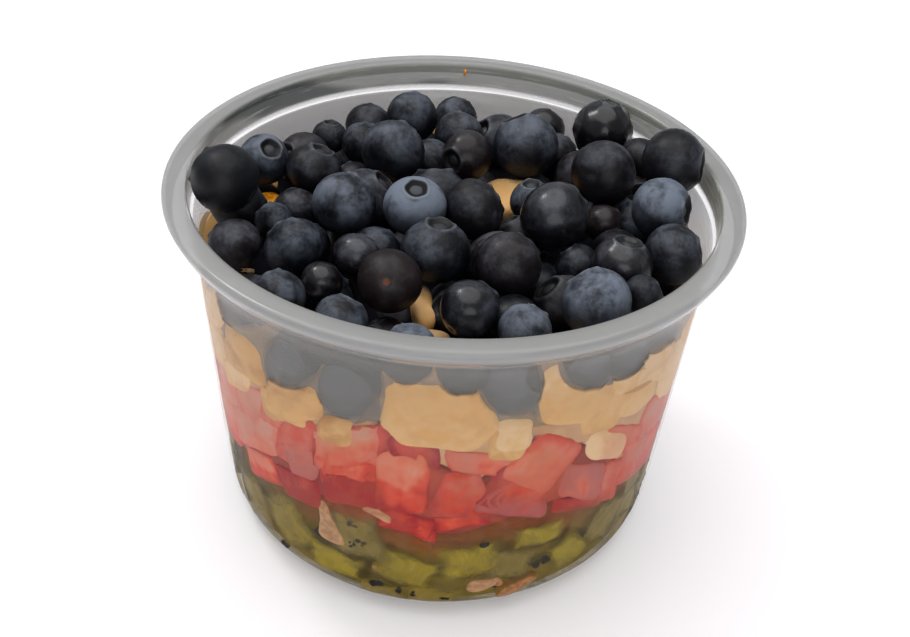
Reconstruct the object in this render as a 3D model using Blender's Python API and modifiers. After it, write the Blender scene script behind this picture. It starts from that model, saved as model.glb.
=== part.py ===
"""Fruit cup: a round clear tub filled with kiwi, strawberry, banana and a heap of blueberries.

Metres, +Z up. The origin is the centre of the tub's base, on the surface that it stands on.
The tub is one turned shell. Each fruit layer is one solid that runs right across the tub, and
the blueberries are one solid out to the round tops of the uppermost berries.
"""
import bpy
import bmesh
import numpy as np
from mathutils import Euler, Matrix
from math import cos, sin, tan, degrees, radians, pi

MM = 0.001

# Driving dimensions of the tub.
RIM_RADIUS = 0.0585
HEIGHT = 0.0785
WALL = 0.0008
WALL_LEAN = radians(4.03)
CORNER_RADIUS = 0.0090
CORNER_CENTRE_RADIUS = 0.0397
FOOT_INNER_RADIUS = 0.0340
FOOT_RECESS = 0.0008
LEDGE_DEPTH = 0.0068
LEDGE_STEP = 0.0009
LEDGE_SLOPE = 0.6
OUTER_STEP_TOP = 0.2
OUTER_STEP_DROP = 0.4
BAND_LEAN = 0.0003
LIP_RADIUS = 0.0009
RIM_CROWN_WIDTH = 0.0030
SKIRT_DROP = 0.0038
SKIRT_RETURN = 0.0012

# Clearances between the solids.
WALL_GAP = 0.0004
LAYER_GAP = 0.0003

# Where one layer ends and the next begins, and how much each boundary waves.
KIWI_TOP = 0.0290
STRAWBERRY_TOP = 0.0480
BANANA_TOP = 0.0615
HEAP_CORE_TOP = 0.0692
HEAP_BACK_DROP = 0.0040
SMALLEST_RISE = 0.0045
WAVE = 0.0020
WAVE_LENGTHS = (0.047, 0.057)
WAVES_AROUND = (9, 16)
HUMPS_START = 0.55
HUMPS_FULL = 0.95
FRONT_HALF_ANGLE = 55
FRONT_FADE = 20

# The raw core of the heap is made this much too deep and too wide before the room trims it.
CORE_EXCESS = 0.0030
CORE_OVERREACH = 0.0006
ROOM_HEIGHT = 0.0985
BACK_DROP_START = 0.032
BACK_DROP_LENGTH = 0.014

# Round shapes are split into this many parts.
AROUND = 44
CORNER_STEPS = 3
RINGS = (0.42, 0.76, 1.00)
BERRY_SUBDIVISIONS = 2
BERRY_TURNS = (0.7, 1.1, 0.4)

# Humps of each boundary along the wall: azimuth in degrees from the front, half width, rise in mm.
KIWI_HUMPS = ((-45, 9, -4), (-20, 9, 3), (4, 6, -2), (27, 12, 4), (50, 8, -2))
STRAWBERRY_HUMPS = ((-60, 12, -6), (-30, 8, 2), (-12, 4, 8), (9, 7, -5), (19, 5, 6), (47, 8, -12))
BANANA_HUMPS = ((-70, 11, 7), (-40, 8, -9), (-22, 7, -11), (-5, 9, 4), (16, 5, -6), (27, 6, 9), (48, 7, -4))

# Berries pressed against the wall: azimuth in degrees from the front, height of the middle and
# diameter in mm.
WALL_BERRIES = (
    (-62, 60, 12), (-40, 56, 11), (-23, 56, 12), (-8, 68, 11), (4, 66, 10),
    (16, 61, 12), (35, 62, 10), (48, 60, 11), (61, 61, 12),
)

# Berries on top of the heap, row by row from the back: x, y, height of the middle, diameter in mm.
TOP_BERRIES = (
    (-21, 39, 68, 11), (-11, 37, 72, 12), (-1, 44, 69, 10), (20, 42, 69, 10), (0, 32, 71, 11),
    (-29, 29, 70, 8), (-21, 25, 71, 10), (15, 25, 73, 15), (32, 31, 75, 14), (40, 22, 73, 10),
    (-41, 12, 73, 11), (-30, 9, 73, 12), (-14, 17, 74, 14), (2, 19, 73, 11), (31, 12, 75, 14),
    (45, 10, 79.5, 14), (-44.8, -11, 81, 14), (-44, -3.5, 71, 13), (-36, -8, 70, 8), (-22, -6, 74, 13),
    (-8, -5, 74, 13), (4, -3, 73, 13), (16, 5, 71, 9), (20, -7, 75, 14), (31, 1, 69, 8),
    (42, -1.5, 75, 13), (43.5, -14, 72, 12.4), (25, -15, 69, 9), (33, -20, 73, 12), (36, -30, 73, 8),
    (-42, -19, 71, 11), (-30, -21, 73, 12), (-18, -22, 72, 10), (-3, -21, 74, 14), (11, -24, 74, 13),
    (-24, -28, 70, 8), (-11, -33, 74.5, 12), (27, -35, 74, 13), (4, -38, 73, 11), (14, -42, 72, 10),
    (-31, -35, 71, 10), (-19, -41, 71, 10),
)

# The berries below and between those: how many are tried, and their spread of diameters in mm.
FILL_BERRIES = 60
FILL_MEAN = 12.6
FILL_SPREAD = 1.3
FILL_SMALLEST = 9.5
FILL_LARGEST = 14.5
FILL_TRIES = 4000
FILL_OVERLAP = 0.5
FILL_CEILING = 70.0
FILL_FROM_WALL = 1.0
FILL_SINK = 0.9
FILL_NEIGHBOURS = 4
FILL_LOW_FIRST = 0.4
FILL_SEED = 11


def clear_scene():
    """Remove every object, so that only the fruit cup is left in the end."""
    for old in list(bpy.data.objects):
        bpy.data.objects.remove(old, do_unlink=True)


def new_collection(name):
    collection = bpy.data.collections.new(name)
    bpy.context.scene.collection.children.link(collection)
    return collection


def material(name, colour, roughness, alpha=1.0):
    """A Principled material with one colour."""
    made = bpy.data.materials.new(name)
    made.use_nodes = True
    shader = made.node_tree.nodes["Principled BSDF"]
    shader.inputs["Base Color"].default_value = (*colour, 1.0)
    shader.inputs["Roughness"].default_value = roughness
    shader.inputs["Metallic"].default_value = 0.0
    shader.inputs["Alpha"].default_value = alpha
    return made


def new_object(name, mesh, collection, finish=None):
    obj = bpy.data.objects.new(name, mesh)
    collection.objects.link(obj)
    if finish is not None:
        mesh.materials.append(finish)
    return obj


def arc(centre, radius, start, end, steps):
    """Points of a round arc in the (radius, height) plane, angles in degrees from outwards."""
    angles = [radians(start + (end - start) * i / steps) for i in range(steps + 1)]
    return [(centre[0] + radius * cos(a), centre[1] + radius * sin(a)) for a in angles]


def wall_radius(height):
    """Outer radius of the leaning wall at a height above the base corner."""
    foot = CORNER_CENTRE_RADIUS + CORNER_RADIUS * cos(WALL_LEAN)
    foot_height = CORNER_RADIUS * (1 - sin(WALL_LEAN))
    return foot + (height - foot_height) * tan(WALL_LEAN)


def inner_corner(offset):
    """The rounded corner between floor and wall, set in from the tub's outer face by offset."""
    centre = (CORNER_CENTRE_RADIUS, CORNER_RADIUS)
    return arc(centre, CORNER_RADIUS - offset, -90, -degrees(WALL_LEAN), CORNER_STEPS)


def tub_profile():
    """The shell's outline from the middle of its floor, over the rim, to the middle underneath."""
    ledge = HEIGHT - LEDGE_DEPTH
    inner = wall_radius(ledge) - WALL
    band = inner + LEDGE_STEP
    lip = band + BAND_LEAN + LIP_RADIUS
    crown = lip + RIM_CROWN_WIDTH
    roll = RIM_RADIUS - crown
    skirt = HEIGHT - SKIRT_DROP
    recess_edge = FOOT_INNER_RADIUS - FOOT_RECESS

    floor = [(0, FOOT_RECESS + WALL), (recess_edge, FOOT_RECESS + WALL), (FOOT_INNER_RADIUS, WALL)]
    step_in = [(inner, ledge), (band, ledge + LEDGE_STEP * LEDGE_SLOPE)]
    lip_arc = arc((lip, HEIGHT - LIP_RADIUS), LIP_RADIUS, 180, 90, 2)
    rim_roll = arc((crown, HEIGHT - roll), roll, 90, -20, 4)
    skirt_edge = [(RIM_RADIUS - SKIRT_RETURN, skirt), (RIM_RADIUS - SKIRT_RETURN - WALL, skirt)]
    under = [(RIM_RADIUS - WALL, HEIGHT - roll), (crown, HEIGHT - WALL), (band + WALL, HEIGHT - WALL)]
    step_out = [(band + WALL, ledge + LEDGE_STEP * OUTER_STEP_TOP),
                (inner + WALL, ledge - LEDGE_STEP * OUTER_STEP_DROP)]
    corner = list(reversed(inner_corner(0)))
    underside = [(FOOT_INNER_RADIUS, 0), (recess_edge, FOOT_RECESS), (0, FOOT_RECESS)]
    return (floor + inner_corner(WALL) + step_in + lip_arc + rim_roll + skirt_edge + under
            + step_out + corner + underside)


def turned(name, profile, collection, finish):
    """Turn an outline about the vertical axis with a Screw modifier."""
    mesh = bpy.data.meshes.new(name)
    points = [(radius, 0, height) for radius, height in profile]
    edges = [(i, i + 1) for i in range(len(points) - 1)]
    mesh.from_pydata(points, edges, [])
    obj = new_object(name, mesh, collection, finish)
    screw = obj.modifiers.new("turn", "SCREW")
    screw.axis = "Z"
    screw.angle = 2 * pi
    screw.steps = AROUND
    screw.render_steps = AROUND
    screw.use_merge_vertices = True
    screw.merge_threshold = 0.00001
    screw.use_smooth_shade = True
    return obj


def smooth_step(value, start, end):
    """Rise smoothly from 0 to 1 as the value goes from start to end."""
    share = np.clip((value - start) / (end - start), 0, 1)
    return share * share * (3 - 2 * share)


def humps_at(azimuth, humps):
    """Sum of smooth humps along the wall, in metres; azimuths in degrees."""
    rise = np.zeros_like(azimuth)
    for middle, half_width, height in humps:
        rise += height * MM * np.exp(-((azimuth - middle) / half_width) ** 2)
    return rise


def boundary(x, y, level, humps, phase):
    """Height of the uneven boundary between two layers at x, y.

    In the middle it is the level plus two crossing waves. Towards the wall the humps take over,
    and away from the front the wall has waves of its own.
    """
    azimuth = np.arctan2(x, -y)
    out = smooth_step(np.hypot(x, y) / wall_radius(level), HUMPS_START, HUMPS_FULL)
    long_x, long_y = WAVE_LENGTHS
    waves = np.sin(2 * pi * x / long_x + phase) * np.cos(2 * pi * y / long_y - phase)
    around = sum(np.sin(count * azimuth + phase) for count in WAVES_AROUND)
    side = np.clip((np.abs(np.degrees(azimuth)) - FRONT_HALF_ANGLE) / FRONT_FADE, 0, 1)
    at_wall = humps_at(np.degrees(azimuth), humps) + WAVE * side * around
    return level + WAVE * (1 - out) * waves + out * at_wall


def kiwi_top(x, y):
    return boundary(x, y, KIWI_TOP, KIWI_HUMPS, 0.4)


def strawberry_top(x, y):
    return boundary(x, y, STRAWBERRY_TOP, STRAWBERRY_HUMPS, 1.7)


def banana_top(x, y):
    return boundary(x, y, BANANA_TOP, BANANA_HUMPS, 3.1)


def heap_core_top(x, y):
    """The core under the uppermost berries: level, and lower towards the back wall."""
    back = smooth_step(y, BACK_DROP_START, BACK_DROP_START + BACK_DROP_LENGTH)
    return HEAP_CORE_TOP + 0 * x - HEAP_BACK_DROP * back


def room_height(x, y):
    """The flat lid of the room that the heap is trimmed to, well above every berry."""
    return ROOM_HEIGHT + 0 * x


def circle(radius, turn=0.0):
    """x and y of the corners of one ring round the axis, turned by a share of one step."""
    angles = (np.arange(AROUND) + turn) * 2 * pi / AROUND
    return radius * np.cos(angles), radius * np.sin(angles)


def surface_rings(height_at, shift, reach, turn=0.0):
    """Rings of an uneven boundary from the middle outwards, up to the given gap to the wall."""
    rings = []
    for share in RINGS:
        x, y = circle(1.0, turn)
        # The wall leans, so the outer radius is found where the boundary meets the wall.
        radius = np.full(AROUND, wall_radius(KIWI_TOP))
        for _ in range(4):
            radius = wall_radius(height_at(x * radius, y * radius) + shift) - WALL - reach
        radius = radius * share
        rings.append(np.stack([x * radius, y * radius, height_at(x * radius, y * radius) + shift], 1))
    return rings


def loft(name, rings, bottom, top):
    """A closed body through rings of equal size, from a bottom point up to a top point."""
    mesh = bpy.data.meshes.new(name)
    shape = bmesh.new()
    corners = [[shape.verts.new(point) for point in ring] for ring in rings]
    lowest = shape.verts.new(bottom)
    highest = shape.verts.new(top)
    for i in range(AROUND):
        j = (i + 1) % AROUND
        shape.faces.new((lowest, corners[0][j], corners[0][i]))
        shape.faces.new((highest, corners[-1][i], corners[-1][j]))
        for low, high in zip(corners, corners[1:]):
            shape.faces.new((low[i], low[j], high[j], high[i]))
    bmesh.ops.triangulate(shape, faces=shape.faces)
    shape.to_mesh(mesh)
    shape.free()
    mesh.shade_smooth()
    mesh.set_sharp_from_angle(angle=radians(50))
    return mesh


def middle_of(height_at, shift):
    return (0, 0, float(height_at(np.array(0.0), np.array(0.0))) + shift)


def layer(name, bottom_at, top_at, collection, finish):
    """One fruit layer between two boundaries, out to the wall."""
    low = surface_rings(bottom_at, LAYER_GAP, WALL_GAP)
    high = surface_rings(top_at, 0, WALL_GAP)
    mesh = loft(name, low + list(reversed(high)), middle_of(bottom_at, LAYER_GAP), middle_of(top_at, 0))
    return new_object(name, mesh, collection, finish)


def kiwi_layer(collection, finish):
    """The lowest layer: kiwi in its juice, which fills the tub's floor and rounded corner."""
    offset = WALL + WALL_GAP
    recess_edge = FOOT_INNER_RADIUS - FOOT_RECESS
    floor = [(recess_edge, FOOT_RECESS + offset), (FOOT_INNER_RADIUS, offset)] + inner_corner(offset)
    low = []
    for radius, height in floor:
        x, y = circle(radius)
        low.append(np.stack([x, y, np.full(AROUND, height)], 1))
    high = surface_rings(kiwi_top, 0, WALL_GAP)
    bottom = (0, 0, FOOT_RECESS + offset)
    mesh = loft("kiwi_layer", low + list(reversed(high)), bottom, middle_of(kiwi_top, 0))
    return new_object("kiwi_layer", mesh, collection, finish)


def berry_places():
    """Middles and radii of all the berries, in mm.

    The wall and top berries come first. Each further berry then takes, of many random places under
    the heap's ceiling that touch nothing by more than a little, the one most closely surrounded.
    """
    places = []
    for azimuth, height, diameter in WALL_BERRIES:
        out = (wall_radius(height * MM) - WALL - WALL_GAP) / MM - diameter / 2
        places.append((out * sin(radians(azimuth)), -out * cos(radians(azimuth)), height, diameter / 2))
    for x, y, height, diameter in TOP_BERRIES:
        places.append((x, y, height, diameter / 2))
    places = np.array(places, float)
    random = np.random.default_rng(FILL_SEED)
    for _ in range(FILL_BERRIES):
        size = np.clip(random.normal(FILL_MEAN, FILL_SPREAD), FILL_SMALLEST, FILL_LARGEST) / 2
        angle = random.uniform(0, 2 * pi, FILL_TRIES)
        widest = wall_radius(BANANA_TOP) / MM - FILL_FROM_WALL - size
        out = np.sqrt(random.uniform(0, 1, FILL_TRIES)) * widest
        x = out * np.cos(angle)
        y = out * np.sin(angle)
        floor = banana_top(x * MM, y * MM) / MM + size * FILL_SINK
        z = floor + random.uniform(0, 1, FILL_TRIES) * np.maximum(FILL_CEILING - floor, 0)
        tries = np.stack([x, y, z], 1)
        apart = np.linalg.norm(tries[:, None, :] - places[None, :, :3], axis=2)
        clearance = apart - places[None, :, 3] - size
        free = clearance.min(axis=1) > -FILL_OVERLAP
        if not free.any():
            continue
        crowding = np.sort(clearance, axis=1)[:, :FILL_NEIGHBOURS].sum(axis=1)
        crowding += FILL_LOW_FIRST * (z - floor)
        best = np.argmin(np.where(free, crowding, np.inf))
        places = np.vstack([places, [*tries[best], size]])
    return places


def berry_rounds(places, collection):
    """The berries that reach out of the heap's core, each as a faceted ball turned its own way."""
    rounds = []
    for i, (x, y, z, radius) in enumerate(places):
        if (z + radius) * MM < heap_core_top(x * MM, y * MM) + SMALLEST_RISE:
            continue
        shape = bmesh.new()
        turn = Euler([i * step for step in BERRY_TURNS]).to_matrix().to_4x4()
        place = Matrix.Translation((x * MM, y * MM, z * MM)) @ turn
        bmesh.ops.create_icosphere(shape, subdivisions=BERRY_SUBDIVISIONS, radius=radius * MM, matrix=place)
        mesh = bpy.data.meshes.new(f"berry_round_{i}")
        shape.to_mesh(mesh)
        shape.free()
        rounds.append(guide(new_object(mesh.name, mesh, collection)))
    return rounds


def guide(obj):
    """Mark a shape that only cuts or joins others."""
    obj.hide_render = True
    obj.display_type = "WIRE"
    return obj


def add_boolean(obj, other, operation):
    step = obj.modifiers.new(f"{operation.lower()}_{other.name}", "BOOLEAN")
    step.operation = operation
    step.object = other
    step.solver = "EXACT"


def blueberry_heap(collection, guides, finish):
    """The berries as one solid: a core with the round tops of the uppermost berries."""
    # The core lies half a step round from the room, so that no edge of one runs along an edge of the other.
    low = surface_rings(banana_top, -CORE_EXCESS, -CORE_OVERREACH, 0.5)
    high = surface_rings(heap_core_top, 0, -CORE_OVERREACH, 0.5)
    core = loft("blueberry_heap", low + list(reversed(high)), middle_of(banana_top, -CORE_EXCESS),
                middle_of(heap_core_top, 0))
    heap = new_object("blueberry_heap", core, collection, finish)
    for ball in berry_rounds(berry_places(), guides):
        add_boolean(heap, ball, "UNION")

    floor = surface_rings(banana_top, LAYER_GAP, WALL_GAP)
    ceiling = surface_rings(room_height, 0, WALL_GAP)
    room = loft("heap_room", floor + list(reversed(ceiling)), middle_of(banana_top, LAYER_GAP),
                middle_of(room_height, 0))
    add_boolean(heap, guide(new_object("heap_room", room, guides)), "INTERSECT")


clear_scene()
parts = new_collection("fruit_cup")
guides = new_collection("guides")
turned("tub", tub_profile(), parts, material("clear_plastic", (0.80, 0.81, 0.82), 0.25, 0.35))
kiwi_layer(parts, material("kiwi_in_juice", (0.36, 0.36, 0.08), 0.30))
layer("strawberry_layer", kiwi_top, strawberry_top, parts, material("strawberry", (0.72, 0.16, 0.10), 0.40))
layer("banana_layer", strawberry_top, banana_top, parts, material("banana", (0.80, 0.62, 0.36), 0.50))
blueberry_heap(parts, guides, material("blueberry", (0.03, 0.035, 0.06), 0.45))
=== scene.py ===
"""Fruit cup: the finish of the tub, its three fruit layers and the blueberries on top.

Metres, +Z up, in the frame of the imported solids. The front is towards -Y, and azimuths are in
degrees from the front, positive towards +X.
"""
from math import cos, pi, radians, sin, tan

import bpy
import numpy as np
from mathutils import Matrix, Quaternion, Vector


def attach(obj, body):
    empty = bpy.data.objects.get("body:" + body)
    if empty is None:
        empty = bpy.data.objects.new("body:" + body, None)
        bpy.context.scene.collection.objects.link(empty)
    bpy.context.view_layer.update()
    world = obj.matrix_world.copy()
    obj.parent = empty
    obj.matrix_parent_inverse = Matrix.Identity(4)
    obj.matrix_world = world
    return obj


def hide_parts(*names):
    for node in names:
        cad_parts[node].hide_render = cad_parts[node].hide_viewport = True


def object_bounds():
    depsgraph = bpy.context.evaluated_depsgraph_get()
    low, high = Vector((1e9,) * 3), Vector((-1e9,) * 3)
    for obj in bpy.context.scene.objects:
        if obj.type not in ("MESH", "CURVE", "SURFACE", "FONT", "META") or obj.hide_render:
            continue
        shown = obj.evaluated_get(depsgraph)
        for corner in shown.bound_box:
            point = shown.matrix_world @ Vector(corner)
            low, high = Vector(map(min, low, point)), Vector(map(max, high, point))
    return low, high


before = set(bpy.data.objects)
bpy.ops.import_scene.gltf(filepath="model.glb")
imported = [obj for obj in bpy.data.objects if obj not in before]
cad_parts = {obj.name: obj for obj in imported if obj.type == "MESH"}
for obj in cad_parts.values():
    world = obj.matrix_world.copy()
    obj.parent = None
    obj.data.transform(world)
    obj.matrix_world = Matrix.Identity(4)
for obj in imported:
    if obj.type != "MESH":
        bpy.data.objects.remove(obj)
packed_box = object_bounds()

# ---------------------------------------------------------------------------------------------
# The studio: a plain white floor, a pale sky all round, one broad lamp above and a fill in
# front. The camera looks down over the rim and is held slightly turned.
CAMERA_PLACE = (0.0, -0.2233, 0.2063)
CAMERA_AIM = (0.0017, 0.0, 0.0430)
CAMERA_ROLL = radians(3.9)
CAMERA_LENS = 50
FLOOR_HALF = 3.0
FLOOR_COLOUR = (0.90, 0.88, 0.91)
FLOOR_GLOW = 0.20
SKY_COLOUR = (0.93, 0.96, 1.0)
SKY_STRENGTH = 0.34


class Shade:
    """A socket of a material's node tree; sums and products of sockets add Math nodes to it."""

    def __init__(self, tree, socket=None):
        self.tree = tree
        self.socket = socket

    def node(self, kind, settings=None, inputs=None, output=0):
        """Add a node: first its settings, then the value or the link of each of its inputs."""
        made = self.tree.nodes.new(kind)
        for name, value in (settings or {}).items():
            setattr(made, name, value)
        for name, value in (inputs or {}).items():
            if isinstance(value, Shade):
                self.tree.links.new(value.socket, made.inputs[name])
            elif made.inputs[name].type == "RGBA":
                made.inputs[name].default_value = (*value, 1.0)
            else:
                made.inputs[name].default_value = value
        return Shade(self.tree, made.outputs[output] if made.outputs else None)

    def maths(self, operation, first, second):
        return self.node("ShaderNodeMath", {"operation": operation}, {0: first, 1: second})

    def __add__(self, other):
        return self.maths("ADD", self, other)

    def __sub__(self, other):
        return self.maths("SUBTRACT", self, other)

    def __rsub__(self, other):
        return self.maths("SUBTRACT", other, self)

    def __mul__(self, other):
        return self.maths("MULTIPLY", self, other)

    __radd__ = __add__
    __rmul__ = __mul__

    def between(self, low, high):
        """Rises smoothly from 0 at low to 1 at high, or falls where low is the larger."""
        if low > high:
            return 1 - self.between(high, low)
        ends = {"Value": self, "From Min": low, "From Max": high}
        return self.node("ShaderNodeMapRange", {"interpolation_type": "SMOOTHSTEP"}, ends)

    def mix(self, first, second):
        """The first colour where this is 0, and the second where it is 1."""
        return self.node("ShaderNodeMix", {"data_type": "RGBA"}, {0: self, 6: first, 7: second}, 2)

    def grain(self, scale, detail=2.0, roughness=0.5, distortion=0.0):
        """Cloudy noise over these coordinates, mostly between 0.3 and 0.7."""
        values = {"Vector": self, "Scale": scale, "Detail": detail, "Roughness": roughness,
                  "Distortion": distortion}
        return self.node("ShaderNodeTexNoise", {}, values)

    def cells(self, scale, feature="F1"):
        """Distance to the middle, or to the edge, of the nearest of many random cells."""
        return self.node("ShaderNodeTexVoronoi", {"feature": feature}, {"Vector": self, "Scale": scale})

    def stretched(self, scale):
        """These coordinates, stretched along each axis."""
        return self.node("ShaderNodeMapping", {}, {"Vector": self, "Scale": scale})

    def part(self, axis):
        """One of the three numbers of this vector: 0, 1 or 2."""
        return self.node("ShaderNodeSeparateXYZ", {}, {0: self}, axis)

    def relief(self, strength, distance):
        """A bumpy surface with this as its height."""
        values = {"Height": self, "Strength": strength, "Distance": distance}
        return self.node("ShaderNodeBump", {}, values)


def new_finish(name):
    """An empty material, and a Shade from which its nodes are made."""
    material = bpy.data.materials.new(name)
    material.use_nodes = True
    material.node_tree.nodes.clear()
    return material, Shade(material.node_tree)


def principled(start, **values):
    """A Principled shader; underscores in the names of its inputs stand for spaces."""
    inputs = {name.replace("_", " "): value for name, value in values.items()}
    return start.node("ShaderNodeBsdfPrincipled", {}, inputs)


def show(surface):
    surface.node("ShaderNodeOutputMaterial", {}, {"Surface": surface})


def place_of(start):
    """The coordinates of the object."""
    return start.node("ShaderNodeTexCoord", {}, {}, 3)


def carried(start, name, output=2):
    """A number or, with output 1, a vector that the mesh carries under this name."""
    return start.node("ShaderNodeAttribute", {"attribute_name": name}, {}, output)


def soft_lamp(name, place, aim, size, power, colour):
    data = bpy.data.lights.new(name, "AREA")
    data.shape = "DISK"
    data.size = size
    data.energy = power
    data.color = colour
    lamp = bpy.data.objects.new(name, data)
    bpy.context.scene.collection.objects.link(lamp)
    lamp.location = place
    lamp.rotation_euler = (Vector(aim) - Vector(place)).to_track_quat("-Z", "Y").to_euler()


def new_object(name, mesh, material):
    obj = bpy.data.objects.new(name, mesh)
    bpy.context.scene.collection.objects.link(obj)
    mesh.materials.append(material)
    return obj


scene = bpy.context.scene
scene.view_settings.view_transform = "Standard"
world = bpy.data.worlds.new("pale_sky")
world.use_nodes = True
sky = world.node_tree.nodes["Background"]
sky.inputs["Color"].default_value = (*SKY_COLOUR, 1)
sky.inputs["Strength"].default_value = SKY_STRENGTH
scene.world = world

camera = bpy.data.objects.new("camera", bpy.data.cameras.new("camera"))
camera.data.lens = CAMERA_LENS
camera.data.clip_start = 0.01
scene.collection.objects.link(camera)
camera.location = CAMERA_PLACE
look = (Vector(CAMERA_AIM) - Vector(CAMERA_PLACE)).to_track_quat("-Z", "Y")
camera.rotation_euler = (look @ Quaternion((0, 0, 1), CAMERA_ROLL)).to_euler()
scene.camera = camera

soft_lamp("lamp_above", (-0.05, 0.08, 1.10), (0, 0, 0.05), 1.6, 12.5, (1.0, 0.985, 0.96))
soft_lamp("lamp_glint", (-0.35, 0.25, 0.60), (0, 0, 0.07), 0.16, 0.9, (1.0, 1.0, 1.0))
soft_lamp("lamp_front", (0.10, -1.00, 0.40), (0, 0, 0.04), 0.9, 4.0, (0.96, 0.98, 1.0))

floor_finish, start = new_finish("pale_floor")
dust = place_of(start).grain(9.0, 3.0)
show(principled(start, Base_Color=dust.mix(FLOOR_COLOUR, (0.88, 0.86, 0.89)), Roughness=0.8,
                Emission_Color=(1.0, 0.98, 1.0), Emission_Strength=FLOOR_GLOW))
floor_mesh = bpy.data.meshes.new("floor")
edge = FLOOR_HALF
floor_mesh.from_pydata([(-edge, -edge, 0), (edge, -edge, 0), (edge, edge, 0), (-edge, edge, 0)], [],
                       [(0, 1, 2, 3)])
new_object("floor", floor_mesh, floor_finish)

# ---------------------------------------------------------------------------------------------
# The tub: one thin moulded shell of clear polypropylene, a little milky, with a rounded corner,
# a leaning wall, a ledge for the lid, a clearer band above it and a rolled, more opaque rim.
MM = 0.001
RIM_RADIUS = 0.0585
HEIGHT = 0.0785
WALL = 0.0008
WALL_LEAN = radians(4.03)
CORNER_RADIUS = 0.0090
CORNER_CENTRE_RADIUS = 0.0397
FOOT_INNER_RADIUS = 0.0340
FOOT_RECESS = 0.0008
LEDGE_DEPTH = 0.0068
LEDGE_STEP = 0.0009
BAND_LEAN = 0.0003
LIP_RADIUS = 0.0009
RIM_CROWN_WIDTH = 0.0030
SKIRT_DROP = 0.0038
SKIRT_RETURN = 0.0012
TUB_AROUND = 180
CORNER_HEIGHT = CORNER_RADIUS * (1 - sin(WALL_LEAN))
RIM_INNER_RADIUS = 0.0540
WET_MILK_COLOUR = (0.34, 0.31, 0.29)
DRY_MILK_COLOUR = (0.185, 0.180, 0.166)
RIM_COLOUR = (0.29, 0.29, 0.288)


def wall_radius(height):
    """Outer radius of the leaning wall at a height above the rounded corner."""
    foot = CORNER_CENTRE_RADIUS + CORNER_RADIUS * cos(WALL_LEAN)
    return foot + (height - CORNER_HEIGHT) * tan(WALL_LEAN)


def arc(centre, radius, start, end, steps):
    """Points of a round arc in the (radius, height) plane, angles in degrees from outwards."""
    angles = np.radians(np.linspace(start, end, steps + 1))
    return [(centre[0] + radius * cos(a), centre[1] + radius * sin(a)) for a in angles]


def straight(first, last, steps):
    """Points between two points of the profile, without its ends."""
    shares = np.linspace(0, 1, steps + 1)[1:-1]
    return [tuple(np.array(first) * (1 - share) + np.array(last) * share) for share in shares]


def tub_profile():
    """The shell's outline from the middle of its floor, over the rim, to the middle underneath."""
    ledge = HEIGHT - LEDGE_DEPTH
    inner = wall_radius(ledge) - WALL
    band = inner + LEDGE_STEP
    lip = band + BAND_LEAN + LIP_RADIUS
    crown = lip + RIM_CROWN_WIDTH
    roll = RIM_RADIUS - crown
    skirt = HEIGHT - SKIRT_DROP
    recess_edge = FOOT_INNER_RADIUS - FOOT_RECESS
    corner_centre = (CORNER_CENTRE_RADIUS, CORNER_RADIUS)
    lean = np.degrees(WALL_LEAN)
    corner_in = arc(corner_centre, CORNER_RADIUS - WALL, -90, -lean, 10)
    corner_out = arc(corner_centre, CORNER_RADIUS, -lean, -90, 10)

    points = [(recess_edge, FOOT_RECESS + WALL), (FOOT_INNER_RADIUS, WALL)]
    points += corner_in
    points += straight(corner_in[-1], (inner, ledge), 12)
    points += [(inner, ledge), (inner + LEDGE_STEP * 0.2, ledge + LEDGE_STEP * 0.1),
               (band, ledge + LEDGE_STEP * 0.6), (band, ledge + LEDGE_STEP)]
    points += arc((lip, HEIGHT - LIP_RADIUS), LIP_RADIUS, 180, 90, 5)
    points += arc((crown, HEIGHT - roll), roll, 90, -20, 6)
    points += [(RIM_RADIUS - SKIRT_RETURN, skirt), (RIM_RADIUS - SKIRT_RETURN - WALL, skirt)]
    points += [(RIM_RADIUS - WALL, HEIGHT - roll), (crown, HEIGHT - WALL)]
    points += [(band + WALL, HEIGHT - WALL), (band + WALL, ledge + LEDGE_STEP * 0.2)]
    points += [(inner + WALL, ledge - LEDGE_STEP * 0.4)]
    points += straight((inner + WALL, ledge - LEDGE_STEP * 0.4), corner_out[0], 12)
    points += corner_out
    points += [(FOOT_INNER_RADIUS, 0), (recess_edge, FOOT_RECESS)]
    points = np.array(points)
    points[:, 0] = np.minimum(points[:, 0], packed_box[1][0])
    return points


def skins(name, firsts, rings, lasts, material, marks=None):
    """One mesh of several closed skins, each a first pole, rings of equal count and a last pole.

    firsts and lasts hold a point for each skin, and rings hold skins x rings x points round.
    Seen from outside, the rings run from the first pole down and their points anticlockwise.
    marks are values that the mesh carries: a name, and an array with a row for each vertex.
    """
    count, deep, around = rings.shape[:3]
    points = np.concatenate([firsts[:, None], rings.reshape(count, -1, 3), lasts[:, None]], 1)
    size = points.shape[1]
    here = np.arange(around)
    after = (here + 1) % around
    row = 1 + np.arange(deep - 1)[:, None] * around
    quads = np.stack([row + here, row + around + here, row + around + after, row + after], -1)
    cap = np.stack([0 * here, 1 + here, 1 + after], 1)
    base = np.stack([0 * here + size - 1, size - 1 - around + after, size - 1 - around + here], 1)
    offsets = (np.arange(count) * size)[:, None, None]
    faces = []
    for group in (cap, quads.reshape(-1, 4), base):
        faces += (group[None] + offsets).reshape(-1, group.shape[1]).tolist()
    mesh = bpy.data.meshes.new(name)
    mesh.from_pydata(points.reshape(-1, 3).tolist(), [], faces)
    for mark, values in (marks or {}).items():
        kind, field = ("FLOAT_VECTOR", "vector") if values.shape[-1] == 3 else ("FLOAT", "value")
        layer = mesh.attributes.new(mark, kind, "POINT")
        layer.data.foreach_set(field, values.astype(np.float32).ravel())
    mesh.shade_smooth()
    return new_object(name, mesh, material)


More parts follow.
